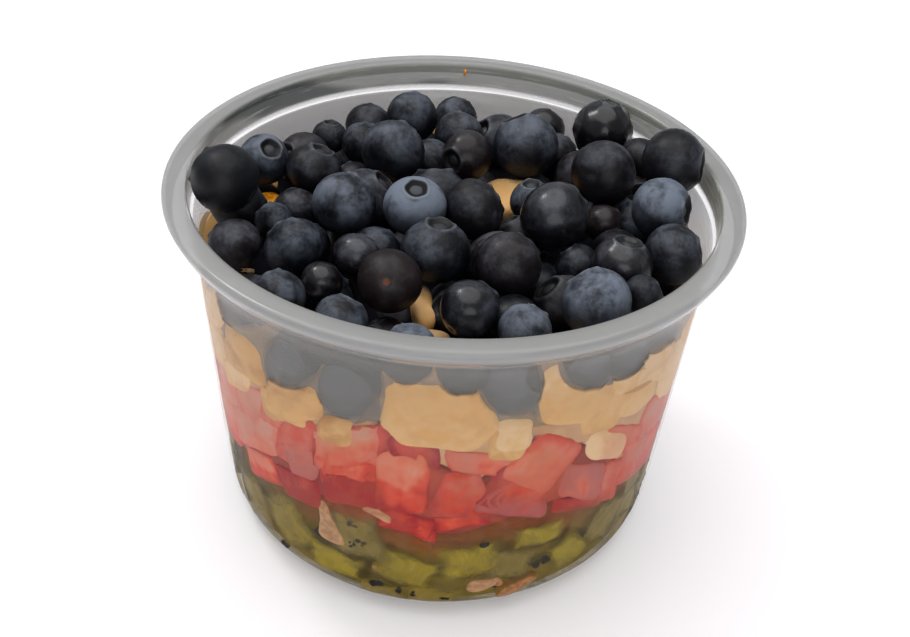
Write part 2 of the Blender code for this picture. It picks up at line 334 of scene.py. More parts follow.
def turned_tub(material):
    """The profile carried round the axis; its middles are the poles."""
    profile = tub_profile()
    angle = np.arange(TUB_AROUND) * 2 * pi / TUB_AROUND
    radius = profile[:, :1]
    height = profile[:, 1:] + 0 * angle
    rings = np.stack([radius * np.cos(angle), radius * np.sin(angle), height], -1)[None]
    first = np.array([[0, 0, FOOT_RECESS + WALL]])
    last = np.array([[0, 0, FOOT_RECESS]])
    return skins("tub", first, rings, last, material)


def milky_plastic():
    """Mostly see-through, milkier up the wall and at the rim, with a soft gloss.

    The inner face is milky only where it is dry, above the wet fruit. The band between the ledge
    and the rim is clearer; painted dark and light reflections run along it and along the rim.
    """
    material, start = new_finish("clear_plastic")
    place = place_of(start)
    height = place.part(2)
    radius = place.node("ShaderNodeVectorMath", {"operation": "LENGTH"},
                        {0: place.stretched((1.0, 1.0, 0.0))}, 1)
    ledge = HEIGHT - LEDGE_DEPTH
    rim = radius.between(RIM_INNER_RADIUS - 0.0004, RIM_INNER_RADIUS + 0.0004)
    band = height.between(ledge + 0.0008, ledge + 0.0018) * (1 - rim)
    clouds = place.grain(60.0, 3.0) - 0.5
    facing = start.node("ShaderNodeLayerWeight", {}, {"Blend": 0.35}, 1)
    mid_wall = (height - CORNER_HEIGHT) * tan(WALL_LEAN) + (wall_radius(CORNER_HEIGHT) - WALL / 2)
    inner = (mid_wall - radius).between(-0.0001, 0.0001) * height.between(0.010, 0.014)
    inner = inner * (1 - rim)
    back = place.part(1).between(-0.010, 0.030)
    outer_milk = 0.005 + 0.04 * height.between(0.026, 0.044) + 0.08 * height.between(0.042, 0.062)
    film = place.grain(95.0, 3.0, 0.6, 0.8).between(0.44, 0.70) * height.between(0.008, 0.020) * 0.24
    film = film * height.between(0.066, 0.056) * (1 - inner)
    dry = height.between(0.045, 0.053)
    inner_milk = 0.02 + (0.53 + 0.25 * back) * dry
    milk = outer_milk + film + (inner_milk - outer_milk) * inner + 0.04 * clouds
    milk = milk + 0.22 * facing * facing * facing * facing * height.between(0.012, 0.034)
    # Dark patches that run along the band, greener to the right: painted reflections.
    dark_reflections = place.stretched((1.0, 1.0, 2.5)).grain(30.0, 2.0, 0.45).between(0.47, 0.60) * band
    milk = milk + (0.78 + 0.12 * dark_reflections - milk) * band
    milk = milk + (0.66 - milk) * rim
    # Streaks that run round the band and the rim; where they are light they are painted reflections.
    streaks = place.stretched((1.0, 1.0, 16.0)).grain(80.0, 3.0, 0.6)
    highlight_streaks = streaks.between(0.55, 0.66) * band
    scratches = place.stretched((1.0, 1.0, 9.0)).grain(160.0, 4.0, 0.7)
    dark_reflection_colour = place.part(0).between(-0.020, 0.020).mix((0.085, 0.093, 0.090), (0.150, 0.160, 0.118))
    film_colour = height.between(0.024, 0.032).mix((0.210, 0.145, 0.025), (0.540, 0.120, 0.060))
    film_colour = height.between(0.042, 0.052).mix(film_colour, (0.560, 0.360, 0.180))
    wet_colour = film.between(0.02, 0.08).mix(WET_MILK_COLOUR, film_colour)
    # Seen edge-on the wet wall is milkier, and its colour there is painted paler and warmer: a painted sheen.
    wet_colour = facing.between(0.5, 0.9).mix(wet_colour, (0.62, 0.50, 0.40))
    # The dry inner face is painted a darker grey towards the back: painted shade.
    colour = inner.mix(wet_colour, back.mix(DRY_MILK_COLOUR, (0.135, 0.130, 0.114)))
    # The band's grey, with its painted dark reflections and its painted light streaks.
    band_colour = dark_reflections.mix((0.260, 0.262, 0.235), dark_reflection_colour)
    colour = band.mix(colour, highlight_streaks.mix(band_colour, (0.360, 0.360, 0.330)))
    # The rim's grey, paler along the streaks: painted reflections.
    colour = rim.mix(colour, streaks.mix(RIM_COLOUR, (0.36, 0.36, 0.355)))
    body = principled(start, Base_Color=colour, Roughness=0.30 + 0.15 * scratches,
                      Specular_IOR_Level=0.25, Normal=scratches.relief(0.05, 0.0002))
    clear = start.node("ShaderNodeBsdfTransparent", {}, {"Color": (0.97, 0.975, 0.975)})
    filled = start.node("ShaderNodeMixShader", {}, {0: milk, 1: clear, 2: body})
    gloss = start.node("ShaderNodeBsdfGlossy", {}, {"Color": (1.0, 1.0, 1.0), "Roughness": 0.16})
    mirror = start.node("ShaderNodeFresnel", {}, {"IOR": 1.45})
    outside = 1 - start.node("ShaderNodeNewGeometry", {}, {}, 6)
    shine = mirror * outside * (0.10 + 0.15 * height.between(0.006, 0.020) + 0.30 * height.between(0.060, 0.074))
    show(start.node("ShaderNodeMixShader", {}, {0: shine, 1: filled, 2: gloss}))
    return material


tub = turned_tub(milky_plastic())
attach(tub, "root")
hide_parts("tub")

# ---------------------------------------------------------------------------------------------
# The lowest layer: diced kiwi sunk in its juice, which strawberries tint brown-red at the top.
# The juice is one clear body that reaches just into the wall, round a cloudy core of fruit, with
# pieces of kiwi, their seeds and a few bits of other fruit between.
KIWI_TOP = 0.0290
STRAWBERRY_TOP = 0.0480
BANANA_TOP = 0.0615
WAVE = 0.0020
WAVE_LENGTHS = (0.047, 0.057)
WAVES_AROUND = (9, 16)
HUMPS_START = 0.55
HUMPS_FULL = 0.95
FRONT_HALF_ANGLE = 55
FRONT_FADE = 20
KIWI_HUMPS = ((-45, 9, -4), (-20, 9, 3), (4, 6, -2), (27, 12, 4), (50, 8, -2))
STRAWBERRY_HUMPS = ((-60, 12, -6), (-30, 8, 2), (-12, 4, 8), (9, 7, -5), (19, 5, 6), (47, 8, -12))
BANANA_HUMPS = ((-70, 11, 7), (-40, 8, -9), (-22, 7, -11), (-5, 9, 4), (16, 5, -6), (27, 6, 9), (48, 7, -4))
INTO_WALL = 0.00005
PRESS_STEP = 0.0002
WALL_GAP = 0.0004
BALL_CLEARANCE = 0.0003
EDGE_BAND = 0.0012
DENTS_OPEN_TO = (0.0, -0.22, 0.20)
# Berries pressed against the wall: azimuth, height of the middle, diameter in mm.
WALL_BERRIES = (
    (-62, 60, 12), (-40, 56, 11), (-23, 56, 12), (-8, 68, 11), (4, 66, 10),
    (16, 61, 12), (35, 62, 10), (48, 60, 11), (61, 61, 12),
)
LAYER_AROUND = 120


def smooth_step(value, start, end):
    """Rise smoothly from 0 to 1 as the value goes from start to end."""
    share = np.clip((value - start) / (end - start), 0, 1)
    return share * share * (3 - 2 * share)


def boundary(x, y, level, humps, phase):
    """Height of the uneven boundary between two layers: waves in the middle, humps at the wall."""
    azimuth = np.arctan2(x, -y)
    out = smooth_step(np.hypot(x, y) / wall_radius(level), HUMPS_START, HUMPS_FULL)
    long_x, long_y = WAVE_LENGTHS
    waves = np.sin(2 * pi * x / long_x + phase) * np.cos(2 * pi * y / long_y - phase)
    around = sum(np.sin(count * azimuth + phase) for count in WAVES_AROUND)
    degrees = np.degrees(azimuth)
    side = np.clip((np.abs(degrees) - FRONT_HALF_ANGLE) / FRONT_FADE, 0, 1)
    rise = sum(height * MM * np.exp(-((degrees - middle) / half) ** 2) for middle, half, height in humps)
    return level + WAVE * (1 - out) * waves + out * (rise + WAVE * side * around)


def kiwi_top(x, y):
    return boundary(x, y, KIWI_TOP, KIWI_HUMPS, 0.4)


def strawberry_top(x, y):
    return boundary(x, y, STRAWBERRY_TOP, STRAWBERRY_HUMPS, 1.7)


def banana_top(x, y):
    return boundary(x, y, BANANA_TOP, BANANA_HUMPS, 3.1)


def cup_floor(x, y):
    return FOOT_RECESS + WALL - FOOT_RECESS * smooth_step(np.hypot(x, y), 0.0332, FOOT_INNER_RADIUS)


def room_radius(height):
    """Radius of the room inside the tub at a height: its leaning wall, or below it the corner."""
    reach = CORNER_RADIUS - WALL
    drop = np.clip((CORNER_RADIUS - height) / reach, 0, 1)
    corner = CORNER_CENTRE_RADIUS + reach * np.sqrt(1 - drop ** 2)
    return np.where(height < CORNER_HEIGHT, corner, wall_radius(height) - WALL)


def layer_body(name, top_at, bottom_at, reach, material, lift=0.0):
    """A layer's whole body: from the middle of its top out to the wall, down it, and back in.

    At the wall its radius is the room's radius plus reach, and its top is raised by lift.
    """
    angle = np.arange(LAYER_AROUND) * 2 * pi / LAYER_AROUND
    across = np.cos(angle)
    along = np.sin(angle)

    def edge_of(height_at, shift):
        radius = np.full(LAYER_AROUND, CORNER_CENTRE_RADIUS)
        for _ in range(5):
            radius = room_radius(height_at(across * radius, along * radius) + shift) + reach
        return radius

    def flat_rings(height_at, shift, shares):
        radius = edge_of(height_at, shift) * shares[:, None]
        x = across * radius
        y = along * radius
        return np.stack([x, y, height_at(x, y) + shift], -1)

    shares = np.linspace(0.12, 1.0, 12)
    top = flat_rings(top_at, lift, shares)
    bottom = flat_rings(bottom_at, 0.0, shares[::-1])
    fall = (1 - np.cos(np.linspace(0, pi / 2, 12)[1:-1]))[:, None]
    height = top[-1, :, 2] + (bottom[0, :, 2] - top[-1, :, 2]) * (1 - fall[::-1])
    radius = room_radius(height) + reach
    side = np.stack([across * radius, along * radius, height], -1)
    rings = np.concatenate([top, side, bottom])[None]
    middle = np.zeros((1, 3))
    first = middle + [0, 0, float(top_at(np.array(0.0), np.array(-1e-9))) + lift]
    last = middle + [0, 0, float(bottom_at(np.array(0.0), np.array(-1e-9)))]
    return skins(name, first, rings, last, material)


def worn_boxes(shapes, tones, deep, squareness, seed, rough, steps):
    """Boxes with worn edges: across, up and out of each point in mm, and what the mesh carries.

    Along each direction the radius is one over that direction's p-norm. A box is as wide and tall
    as its shape says, narrower towards its top by its taper, turned by degrees, made lumpy by a
    few waves, and its far side stands higher by its rise for each mm across.
    """
    wide, tall, turn, taper, rise = np.array(shapes, float).T[:, :, None, None]
    count = len(shapes)
    random = np.random.default_rng(seed)
    down = np.linspace(0, pi, steps[0] + 2)[None, :, None]
    around = (np.arange(steps[1]) * 2 * pi / steps[1])[None, None, :]
    way = np.stack([np.sin(down) * np.cos(around), np.sin(down) * np.sin(around),
                    np.cos(down) + 0 * around], -1)
    way = way / (np.abs(way) ** squareness).sum(-1, keepdims=True) ** (1 / squareness)
    u = way[..., 0] * (1 - taper * way[..., 1]) * wide / 2
    v = way[..., 1] * tall / 2 + 0 * u
    w = way[..., 2] * deep / 2 + 0 * u
    own = np.stack([u, v, w], -1)
    pull = random.uniform(-0.55, 0.55, (3, count, 1, 1, 3))
    phase = random.uniform(0, 2 * pi, (3, count, 1, 1, 1))
    lumps = sum(np.sin((own * pull[i]).sum(-1, keepdims=True) * 1.6 + phase[i]) * [1, 1, 0.6]
                * np.roll([1, 0.6, -0.8], i) for i in range(3))
    u, v, w = np.moveaxis(own + rough * lumps, -1, 0)
    turn = np.radians(turn)
    u, v = u * np.cos(turn) - v * np.sin(turn), u * np.sin(turn) + v * np.cos(turn)
    v = v + u * rise
    offset = random.uniform(-50, 50, (count, 1, 1, 3))
    marks = {"own": (own + offset) * MM, "face": way + 0 * own,
             "tones": np.array(tones, float)[:, None, None] + 0 * own}
    poled = {mark: np.concatenate([values[:, 0, :1], values[:, 1:-1].reshape(count, -1, 3),
                                   values[:, -1, :1]], 1) for mark, values in marks.items()}
    return u, v, w, poled


def chunks(name, rows, deep, squareness, poke, seed, material, reach=INTO_WALL, rough=0.35,
           steps=(15, 26), balls=()):
    """Cut chunks of fruit standing round the wall and pressed flat on it.

    Each row is a chunk: azimuth in degrees, height of its middle, the width, height, turn, taper
    and rise of its worn box, and three tones. It is set so that it pokes into the wall, where it
    is pressed flat, later rows a little in front of earlier ones. The balls are azimuths, heights
    and diameters of berries at the wall. Each has a round dent in the chunks that opens to the
    front and up: points in the dent move back along its axis to behind the berry, and points near
    its edge slide out to it.
    """
    table = np.array(rows, float)
    azimuth, height = table[:, :2].T[:, :, None, None]
    u, v, w, marks = worn_boxes(table[:, 2:7], table[:, 7:10], deep, squareness, seed, rough, steps)
    z = (height + v) * MM
    out = room_radius(height * MM) + (poke + w - deep / 2) * MM
    angle = np.radians(azimuth)
    x = out * np.sin(angle) + u * MM * np.cos(angle)
    y = -out * np.cos(angle) + u * MM * np.sin(angle)
    z = np.maximum(z, cup_floor(x, y) - INTO_WALL)
    nearer = reach + PRESS_STEP * np.linspace(0, 1, len(rows))[:, None, None]

    def pressed(points):
        far = np.hypot(points[..., 0], points[..., 1])
        share = np.minimum((room_radius(points[..., 2]) + nearer) / np.maximum(far, 1e-6), 1)
        return points * np.stack([share, share, 1 + 0 * share], -1)

    points = pressed(np.stack([x, y, z], -1))
    for ball_azimuth, ball_height, size in balls:
        ball = size / 2 * MM
        far = room_radius(ball_height * MM) - WALL_GAP - ball
        middle = np.array([far * sin(radians(ball_azimuth)), -far * cos(radians(ball_azimuth)), ball_height * MM])
        opening = np.array(DENTS_OPEN_TO) - middle
        opening /= np.linalg.norm(opening)
        along = ((points - middle) @ opening)[..., None]
        across = points - middle - along * opening
        beside = np.maximum(np.linalg.norm(across, axis=-1, keepdims=True), 1e-6)
        hit = (beside < ball) & (along > -ball)
        edge = beside > ball - EDGE_BAND
        behind = -np.sqrt(np.maximum(ball ** 2 - beside ** 2, 0)) - BALL_CLEARANCE
        moved = np.where(edge, along * opening + across * ball / beside, behind * opening + across)
        points = np.where(hit, middle + moved, points)
    points = pressed(points)
    return skins(name, points[:, 0, 0], points[:, 1:-1], points[:, -1, 0], material, marks)


def rest_of_wall(seed, levels, spacing, size, tones, clear_of=62):
    """Rows of chunks for the sides and the back: evenly round the wall, with random shifts."""
    random = np.random.default_rng(seed)
    rows = []
    for level in levels:
        for azimuth in np.arange(clear_of, 360 - clear_of, spacing):
            tone = random.uniform(*tones)
            # The lower tone is less by up to 0.5: painted shade on the lower part of each face.
            rows.append((azimuth + random.uniform(-3, 3), level + random.uniform(-1.5, 1.5),
                         size * random.uniform(0.85, 1.25), size * random.uniform(0.8, 1.2),
                         random.uniform(-30, 30), random.uniform(-0.25, 0.25), 0,
                         tone, tone - random.uniform(0, 0.5), random.uniform(0, 0.6)))
    return tuple(rows)


def edge_of_face(start, first=0.35):
    """0 over the middle of a chunk's face, rising from the first share of it to 1 at its edges."""
    face = carried(start, "face", 1)
    across = face.part(0) * face.part(0)
    up = face.part(1) * face.part(1)
    return across.maths("MAXIMUM", across, up).between(first, 1.05)


def tone_and_face_light(start, clouds):
    """The chunk's tone, from its lower one to its upper one over a blurred line across its middle: mostly painted
    light above and painted shade below.
    """
    tones = carried(start, "tones", 1)
    rise = carried(start, "face", 1).part(1) + (clouds - 0.5) * 1.6
    return tones.part(1) + (tones.part(0) - tones.part(1)) * rise.between(-0.35, 0.35)


def juice():
    """Cloudy juice: olive low down, brown-red under the strawberries, half see-through."""
    material, start = new_finish("kiwi_juice")
    place = place_of(start)
    clouds = place.stretched((1.0, 1.0, 1.4)).grain(70.0, 3.0, 0.6, 0.6)
    height = place.part(2) + (clouds - 0.5) * 0.016
    colour = height.between(0.015, 0.027).mix((0.215, 0.148, 0.018), (0.220, 0.058, 0.014))
    body = principled(start, Base_Color=colour, Roughness=0.5, Specular_IOR_Level=0.0)
    clear = start.node("ShaderNodeBsdfTransparent", {}, {"Color": (1.0, 0.97, 0.9)})
    thick = 0.18 + 0.40 * clouds.between(0.38, 0.68) + 0.25 * height.between(0.018, 0.028)
    show(start.node("ShaderNodeMixShader", {}, {0: thick, 1: clear, 2: body}))
    return material


def kiwi_flesh():
    """Wet green flesh with pale fibres running one way; its edges fade out into the juice."""
    material, start = new_finish("kiwi_flesh")
    own = carried(start, "own", 1)
    fibres = own.stretched((1.0, 0.25, 1.0)).grain(900.0, 3.0, 0.6)
    clouds = own.grain(260.0, 3.0, 0.6)
    # Mostly paler on the upper part of each piece's face as painted light, darker below as painted shade.
    flesh = tone_and_face_light(start, clouds).mix((0.150, 0.092, 0.008), (0.285, 0.205, 0.013))
    paler = fibres.between(0.45, 0.68) * 0.5 + clouds.between(0.5, 0.75) * 0.4
    colour = paler.mix(flesh, (0.325, 0.250, 0.034))
    greyer = carried(start, "tones", 1).part(2)
    colour = greyer.mix(colour, (0.190, 0.138, 0.045))
    body = principled(start, Base_Color=colour, Roughness=0.5, Specular_IOR_Level=0.05,
                      Normal=fibres.relief(0.5, 0.0006))
    clear = start.node("ShaderNodeBsdfTransparent", {}, {"Color": (1.0, 1.0, 1.0)})
    gone = (edge_of_face(start, 0.05) + (clouds - 0.5) * 1.1).between(-0.20, 0.72)
    show(start.node("ShaderNodeMixShader", {}, {0: gone, 1: body, 2: clear}))
    return material


def kiwi_core_flesh():
    """The cloudy mass of kiwi behind the pieces: olive, brown-red near its top."""
    material, start = new_finish("kiwi_mass")
    place = place_of(start)
    lumps = place.cells(120.0)
    clouds = place.grain(90.0, 3.0)
    height = place.part(2) + (clouds - 0.5) * 0.012
    green = lumps.between(0.2, 0.8).mix((0.255, 0.178, 0.020), (0.112, 0.072, 0.009))
    colour = height.between(0.016, 0.028).mix(green, (0.220, 0.055, 0.014))
    show(principled(start, Base_Color=colour, Roughness=0.5, Specular_IOR_Level=0.05,
                    Normal=lumps.relief(0.6, 0.002)))
    return material


def plain_fruit(name, dark, light, roughness):
    """A small bit of fruit or a seed: two close colours in fine clouds."""
    material, start = new_finish(name)
    clouds = carried(start, "own", 1).grain(900.0, 2.0)
    show(principled(start, Base_Color=clouds.between(0.35, 0.65).mix(dark, light), Roughness=roughness,
                    Specular_IOR_Level=0.1, Normal=clouds.relief(0.3, 0.0003)))
    return material


# The upper tone is mostly the paler: painted light on the top of each face, painted shade below.
# azimuth, height, width, height, turn, taper, rise, upper tone, lower tone, greyness
KIWI_PIECES = (
    (0, 7, 18, 8, 0, 0, 0, 0.4, 0.3, 0.2), (-12, 6, 15, 9, 0, 0, 0, 0.4, 0.2, 0.4),
    (47, 18, 15, 15, -30, 0, 0, 0.3, 0.3, 0.5), (-52, 15, 15, 16, 20, 0, 0, 0.5, 0.3, 0.3),
    (-38, 17, 15, 20, 25, 0.1, 0.3, 0.7, 0.6, 0.1), (-18, 22, 15, 17, 6, 0.1, 0, 0.5, 0.4, 0.7),
    (-24, 12, 16, 9, -8, 0, 0.1, 1.2, 1.0, 0), (-6, 15, 16, 12, -15, 0.1, 0, 1.0, 0.7, 0),
    (19, 16, 13, 11, -10, 0, 0, 0.4, 0.4, 0.6), (9, 18, 16, 12, 10, 0, 0, 1.2, 0.9, 0),
    (25, 23.5, 16, 8, 10, 0, -0.2, 1.0, 0.9, 0), (35, 14.5, 12, 11, 30, 0, -0.3, 1.1, 0.9, 0),
)
SEED_CLUSTERS = (
    (-19, 26, 0.7, 1.2, 3), (-18.5, 20, 1.6, 1.6, 7), (-14, 9, 1.2, 0.8, 4), (27, 14, 1.6, 1.0, 6), (12, 23, 0.4, 0.8, 1),
    (-41, 7, 0.8, 0.6, 2), (-29, 18, 0.5, 1.0, 3), (-5, 8, 2.4, 0.6, 4), (4, 7, 0.8, 0.6, 3),
    (16, 10, 0.6, 0.5, 2),
)
WALL_SEEDS_BEHIND = 60


def seed_rows(seed):
    """Seeds round the middle of each cluster, and more of them all round the sides and back."""
    random = np.random.default_rng(seed)
    rows = []
    for azimuth, height, half_wide, half_tall, count in SEED_CLUSTERS:
        for _ in range(count):
            rows.append((azimuth + random.normal(0, half_wide * 0.7), height + random.normal(0, half_tall * 0.5)))
    for _ in range(WALL_SEEDS_BEHIND):
        rows.append((random.uniform(58, 302), random.uniform(7, 24)))
    return [(azimuth, height, random.uniform(1.2, 1.6), random.uniform(1.7, 2.4),
             random.uniform(-80, 80), 0.15, 0, 0, 0, 0) for azimuth, height in rows]


kiwi_mass = layer_body("kiwi_mass", kiwi_top, cup_floor, -0.0012, kiwi_core_flesh(), -0.001)
kiwi_pieces = chunks("kiwi_pieces", rest_of_wall(3, (9, 17, 25), 13, 11, (0, 1), 58) + KIWI_PIECES,
                     9, 4, 1.0, 21, kiwi_flesh(), reach=0.0001)
kiwi_seeds = chunks("kiwi_seeds", seed_rows(22), 0.9, 2.2, 0.35, 23,
                    plain_fruit("kiwi_seed", (0.003, 0.002, 0.001), (0.010, 0.007, 0.005), 0.6),
                    reach=0.0005, rough=0.05, steps=(6, 8))
PALE_BITS = ((-26, 23, 5, 12, 8, 0.45, 0, 0, 0, 0), (13, 11, 7, 3, 14, 0.2, 0, 0, 0, 0),
             (-13, 30.5, 7, 2.5, -20, 0, 0, 0, 0, 0))
pale_bits = chunks("pale_bits", PALE_BITS, 5, 4, 1.0, 24,
                   plain_fruit("pale_fruit", (0.33, 0.16, 0.07), (0.46, 0.25, 0.12), 0.4), reach=0.0003)
WARM_BITS = ((-13, 13, 2, 2.4, 0, 0, 0, 0, 0, 0), (22, 8, 9, 4, 20, 0.2, 0, 0, 0, 0),
             (16, 11, 2, 2, 0, 0, 0, 0, 0, 0))
warm_bits = chunks("warm_bits", WARM_BITS, 4, 3, 1.0, 25,
                   plain_fruit("orange_fruit", (0.26, 0.10, 0.03), (0.38, 0.17, 0.05), 0.4), reach=0.0002)
kiwi_juice = layer_body("kiwi_juice", kiwi_top, cup_floor, INTO_WALL, juice(), 0.0005)
for piece in (kiwi_mass, kiwi_pieces, kiwi_seeds, pale_bits, warm_bits, kiwi_juice):
    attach(piece, "root")
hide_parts("kiwi_layer")

# ---------------------------------------------------------------------------------------------
# The upper tone is mostly the paler: painted light on the top of each face, painted shade below.
# The strawberry layer: ripe berries cut into sharp dice and wedges, packed round the wall over
# one mass of the same fruit, and wet with their own juice.
# azimuth, height, width, height, turn, taper, rise, upper tone, lower tone, mauve sheen;
# a tone is 0 for deep red, 0.5 for orange-red, 1 for salmon and 1.5 for pale pink
STRAWBERRY_PIECES = (
    (-62, 31, 12, 12, 0, 0, 0.3, 1.2, 0.8, 0.2), (-60, 42, 12, 11, 0, 0, 0.3, 1.4, 1.2, 0.1),
    (-46, 45, 14, 9, 0, 0, 0.4, 1.4, 1.2, 0.1), (-47, 37, 16, 10.5, 0, 0, 0.45, 1.45, 1.2, 0.2),
    (-46, 28, 12, 7, 20, 0.1, 0, 0.95, 0.5, 0), (-33, 29.5, 10, 8, 10, -0.15, 0, 0.15, 0.1, 0.1),
    (-38, 48, 9, 10, -10, 0, 0.3, 1.2, 1.0, 0.2), (-33, 43, 8.5, 15, -22, 0, 0.3, 0.75, 0.75, 0.35),
    (-31.5, 37.5, 9, 8.5, 0, -0.3, 0.35, 1.0, 0.9, 0.75), (-19, 47, 16, 11, 0, 0, 0.5, 0.5, 0.4, 0.3),
    (-20, 46.5, 14, 11, 0, 0, 0.52, 1.4, 0.9, 0.2), (-19.5, 39.5, 12.5, 5.5, 0, 0, 0.42, 0.6, 0.4, 0),
    (-19, 35, 12.5, 8.5, 0, 0, 0.15, 0.05, 0.0, 0), (-5, 49.5, 9.5, 6, 0, 0, -0.25, 0.3, 0.3, 0.3),
    (-2.5, 27.5, 6, 3.5, -30, 0.3, 0, 0.4, 0.35, 0), (-6.5, 29.3, 11, 6, -8, 0, 0, 0.35, 0.25, 0),
    (-7.5, 41, 10.5, 17, -3, 0, 0, 1.0, 0.5, 0), (6, 31, 11, 4.5, 12, 0, 0, 0.4, 0.3, 0),
    (5.5, 38.5, 10, 13, 3, 0.3, -0.05, 0.7, 0.5, 0.35), (8, 47, 12, 5.5, -14, -0.2, 0, 1.15, 1.0, 0.3),
    (14, 40, 6, 12, -20, 0, 0, 0.25, 0.1, 0.5), (18.5, 36, 13, 10, -20, 0.35, 0, 0.75, 0.35, 0.8),
    (57, 42, 10, 12, 0, 0, -0.3, 1.2, 0.9, 0.3), (60, 31, 11, 12, 0, 0, -0.3, 0.8, 0.5, 0.5),
    (46, 42, 12, 8, 0, 0, -0.5, 1.0, 0.8, 0.3), (52, 33, 9, 13, 0, 0, -0.3, 1.0, 0.7, 0.4),
    (35, 29.5, 13, 4, 0, 0, -0.3, 0.25, 0.15, 0), (44.5, 31, 5.5, 12, 0, 0, -0.3, 0.75, 0.6, 0.3),
    (35, 35.5, 11.5, 10, 0, 0.05, -0.5, 1.0, 0.9, 0.8), (23, 44.8, 12.5, 13.5, -36, 0, 0, 0.8, 1.1, 0.15),
)
MASS_INTO_WALL = 0.00025


def strawberry_flesh():
    """Deep red to pale pink by tone, streaked up from the core, and painted darker red along its edges as shade
    between the dice.
    """
    material, start = new_finish("strawberry_flesh")
    own = carried(start, "own", 1)
    streaks = own.stretched((1.0, 0.22, 1.0)).grain(420.0, 3.0, 0.6)
    clouds = own.grain(130.0, 2.0)
    blots = own.grain(420.0, 2.0)
    # Mostly paler on the upper part of each face as painted light, darker below as painted shade.
    shade = tone_and_face_light(start, clouds) + (clouds - 0.5) * 0.9 + (streaks - 0.5) * 0.5
    # Darker red towards the edges of each face: painted shade where the dice meet.
    shade = shade + (blots - 0.5) * 0.7 - 0.30 * edge_of_face(start, 0.2)
    red = shade.between(0.0, 0.55).mix((0.290, 0.006, 0.008), (0.560, 0.048, 0.018))
    colour = shade.between(0.45, 1.0).mix(red, (0.590, 0.150, 0.082))
    colour = shade.between(0.95, 1.5).mix(colour, (0.560, 0.250, 0.165))
    mauve = carried(start, "tones", 1).part(2) * clouds.between(0.30, 0.60)
    colour = mauve.mix(colour, (0.330, 0.085, 0.080))
    show(principled(start, Base_Color=colour, Roughness=0.5, Specular_IOR_Level=0.08,
                    Normal=streaks.relief(0.4, 0.0005)))
    return material


def strawberry_mass_flesh():
    """The mass behind the dice, in the shade of their gaps."""
    material, start = new_finish("strawberry_mass")
    lumps = place_of(start).cells(110.0)
    colour = lumps.between(0.1, 0.8).mix((0.36, 0.05, 0.025), (0.20, 0.018, 0.012))
    show(principled(start, Base_Color=colour, Roughness=0.5, Specular_IOR_Level=0.05,
                    Normal=lumps.relief(0.6, 0.002)))
    return material


strawberry_mass = layer_body("strawberry_mass", strawberry_top, kiwi_top, MASS_INTO_WALL,
                             strawberry_mass_flesh(), -0.001)
strawberry_pieces = chunks("strawberry_pieces",
                           rest_of_wall(31, (32, 43), 12.5, 13.5, (0.2, 1.4), 66) + STRAWBERRY_PIECES,
                           9, 11, 1.2, 32, strawberry_flesh(), reach=0.0003, rough=0.2, steps=(21, 36),
                           balls=WALL_BERRIES)
for piece in (strawberry_mass, strawberry_pieces):
    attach(piece, "root")
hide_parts("strawberry_layer")

# ---------------------------------------------------------------------------------------------
# The upper tone is mostly the paler: painted light on the top of each face, painted shade below.
# The banana layer: soft cut slices and broken chunks, browning a little, round the wall over one
# mass of banana, and a few chunks that show between the berries on top.
# azimuth, height, width, height, turn, taper, rise, upper tone, lower tone, golden middle;
# a tone is 0 for tan, 1 for cream and 1.4 for pale pinkish cream
BANANA_PIECES = (
    (-64, 50, 14, 14, 0, 0, 0.3, 1.1, 0.9, 0.1), (-36, 50, 14, 11, 0, 0, 0.2, 0.5, 0.3, 0.2),
    (36, 55, 13, 16, 0, 0, -0.2, 0.8, 0.6, 0.3), (62, 52, 14, 20, 0, 0, -0.3, 1.2, 1.1, 0.1),
    (-22, 50, 10, 9, 0, 0, 0.2, 0.2, 0.1, 0), (14, 52, 10, 12, 0, 0, 0, 0.4, 0.5, 0),
    (54, 58, 14, 12, 0, 0, -0.3, 1.1, 1.0, 0.2), (-53, 48, 14, 9, 0, 0, 0.3, 1.0, 0.8, 0.1),
    (-62, 60, 14, 12, 0, 0, 0.6, 1.2, 1.0, 0), (-49, 56, 16, 14, 0, 0, 0.1, 0.6, 0.4, 0.7),
    (-33, 53, 16, 13, 0, 0, 0.35, 0.4, 0.5, 0.3), (47, 60, 16, 11, 0, 0, -0.3, 1.2, 1.0, 0),
    (45, 53.5, 19, 11, 0, 0, -0.25, 0.75, 1.0, 0.4), (46, 56, 12, 2, 0, 0, -0.2, -0.1, -0.1, 0),
    (40, 43.5, 14, 10.5, -12, 0, -0.35, 1.3, 1.45, 0), (15.5, 54, 9, 10, 0, 0, 0, 1.3, 1.2, 0),
    (23, 66, 9, 11, 0, 0, 0, 1.1, 1.0, 0), (41.5, 60, 10, 9, 0, 0, -0.2, 0.9, 0.7, 0), (27, 60.5, 14.5, 17, 10, 0, -0.2, 1.0, 0.85, 0.8),
    (-0.5, 59, 22.5, 20, 0, 0, 0, 0.8, 1.0, 0.8),
)


